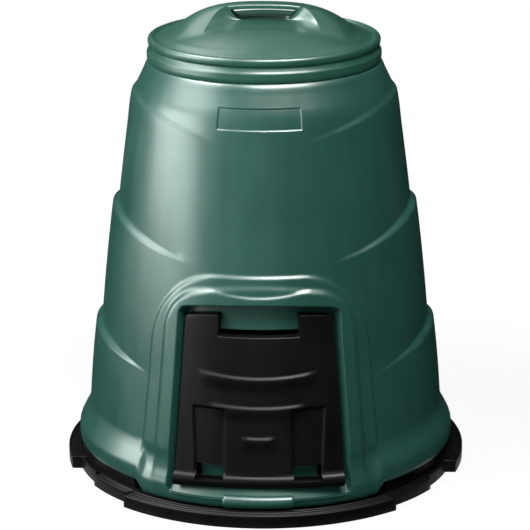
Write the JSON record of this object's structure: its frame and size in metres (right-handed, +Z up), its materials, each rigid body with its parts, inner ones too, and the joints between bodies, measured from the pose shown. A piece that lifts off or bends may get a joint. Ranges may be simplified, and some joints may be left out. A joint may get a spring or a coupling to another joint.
{
  "type": "compost bin",
  "caption": "Conical plastic compost bin with a lift-off lid with a grip bar, a tilting hatch at its foot and a separate base plate.",
  "frame": {"origin": "on the ground at the axis of the drum, the centre of the bounding box's underside", "axes": "+Z up along the drum's axis, -Y towards the hatch, +X to the viewer's right when the hatch is faced"},
  "size_m": [0.7856, 0.795, 0.909],
  "materials": {
    "drum_plastic": "satin green polyethylene",
    "lid_plastic": "satin green polyethylene",
    "hatch_plastic": "fine-grained black polyethylene",
    "plate_plastic": "fine-grained black polyethylene",
    "screw_steel": "bright zinc-plated steel"
  },
  "bodies": {
    "bin": {"bin_body": "drum_plastic", "base_plate": "plate_plastic", "base_screw_1": "screw_steel", "base_screw_2": "screw_steel", "base_screw_3": "screw_steel", "base_screw_4": "screw_steel"},
    "lid": {"lid": "lid_plastic"},
    "hatch": {"hatch": "hatch_plastic"}
  },
  "joints": [
    {"name": "lid_lift", "type": "slide", "parent": "bin", "child": "lid", "axis": [0, 0, 1], "range_m": [0, 0.25]},
    {"name": "hatch_tilt", "type": "hinge", "parent": "bin", "child": "hatch", "pos_m": [0, -0.3495, 0.073], "axis": [1, 0, 0], "range_deg": [0, 105]}
  ]
}
